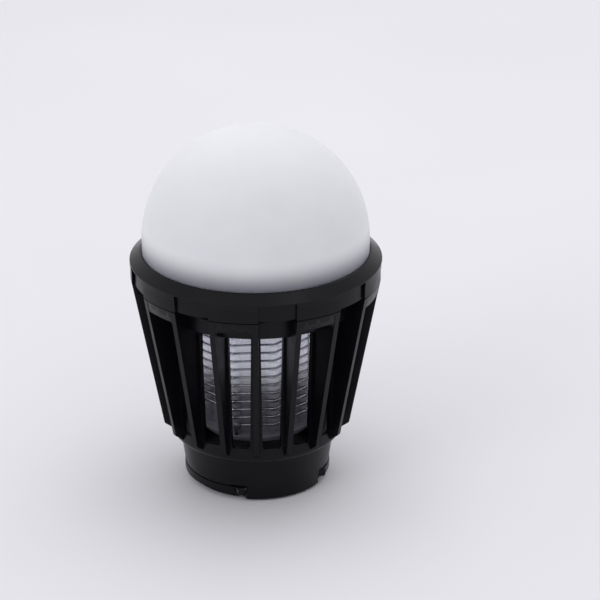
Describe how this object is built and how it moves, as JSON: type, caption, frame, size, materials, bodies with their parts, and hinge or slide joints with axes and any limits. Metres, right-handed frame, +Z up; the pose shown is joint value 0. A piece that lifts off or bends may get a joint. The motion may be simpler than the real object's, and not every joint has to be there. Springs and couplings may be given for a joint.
{
  "type": "electric bug zapper lamp",
  "caption": "Rechargeable camping bug zapper: soft dome lamp over a finned cage with a hanging wire grid, lift-out head, twist-off base and fold-down hanging loop.",
  "frame": {"origin": "centre of the foot pad's underside, on the surface the lamp stands on", "axes": "+Z up along the lamp's axis; the front is -Y; +X is to the right of someone who faces the front"},
  "size_m": [0.0906, 0.0906, 0.1339],
  "materials": {
    "rubber": "matte moulded rubber",
    "abs": "black moulded ABS, fine satin texture",
    "abs_inner": "black moulded ABS, plain",
    "steel": "bright drawn stainless wire and screws",
    "silicone": "matt translucent white silicone",
    "white_board": "white solder mask on aluminium board",
    "phosphor": "yellow phosphor lamp chips",
    "white_plastic": "glossy white moulding",
    "battery_wrap": "shrink film",
    "lead_red": "PVC insulation",
    "green_board": "green solder mask",
    "coil": "lacquered copper on ferrite",
    "capacitor_shell": "dipped epoxy",
    "switch_body": "plain",
    "button_plastic": "dark grey satin",
    "clear_plastic": "clear polycarbonate tube",
    "violet_chip": "violet lamp chips"
  },
  "bodies": {
    "base": {"foot_pad": "rubber", "base_cup": "abs", "insect_tray": "abs_inner", "loop_pins": "steel"},
    "loop": {"hanging_loop": "abs"},
    "seal": {"spigot_seal": "rubber", "cage_spigot": "abs"},
    "cage": {"cage_shoulder": "abs", "cage_fins": "abs", "cage_arches": "abs", "cage_collar": "abs"},
    "head": {"head_housing": "abs", "head_floor": "abs_inner", "floor_screws": "steel", "bezel_ring": "abs", "shade_dome": "silicone", "lamp_board": "white_board", "lamp_chips": "phosphor", "lamp_board_screws": "steel", "lamp_reflector": "white_plastic", "battery_pack": "battery_wrap", "battery_cradle": "abs_inner", "battery_leads": "lead_red", "control_board": "green_board", "step_up_transformer": "coil", "storage_capacitor": "capacitor_shell", "push_switch": "switch_body", "charging_socket": "steel", "grid_top_disc": "abs_inner", "grid_former": "clear_plastic", "uv_board": "green_board", "uv_chips": "violet_chip", "grid_wire_a": "steel", "grid_wire_b": "steel", "grid_foot": "abs_inner", "grid_foot_screw": "steel", "grid_terminal": "steel"},
    "button": {"power_button": "button_plastic"},
    "port_cover": {"charging_port_cover": "rubber"}
  },
  "joints": [
    {"name": "cage_lift", "type": "slide", "parent": "base", "child": "seal", "axis": [0, 0, 1], "range_m": [0, 0.03]},
    {"name": "cage_turn", "type": "hinge", "parent": "seal", "child": "cage", "pos_m": [0, 0, 0.01585], "axis": [0, 0, 1], "range_deg": [0, 30]},
    {"name": "head_lift", "type": "slide", "parent": "cage", "child": "head", "axis": [0, 0, 1], "range_m": [0, 0.07]},
    {"name": "loop_fold", "type": "hinge", "parent": "base", "child": "loop", "pos_m": [0.00841, -0.01803, 0.0042], "axis": [-0.9063, -0.4226, 0], "range_deg": [0, 90]},
    {"name": "button_press", "type": "slide", "parent": "head", "child": "button", "axis": [-0.5075, -0.8616, 0], "range_m": [0, 0.0006], "stiffness_N_per_m": 400},
    {"name": "port_cover_swing", "type": "hinge", "parent": "head", "child": "port_cover", "pos_m": [-0.00736, 0.04396, 0.0792], "axis": [-0.9863, -0.165, 0], "range_deg": [0, 100]}
  ]
}
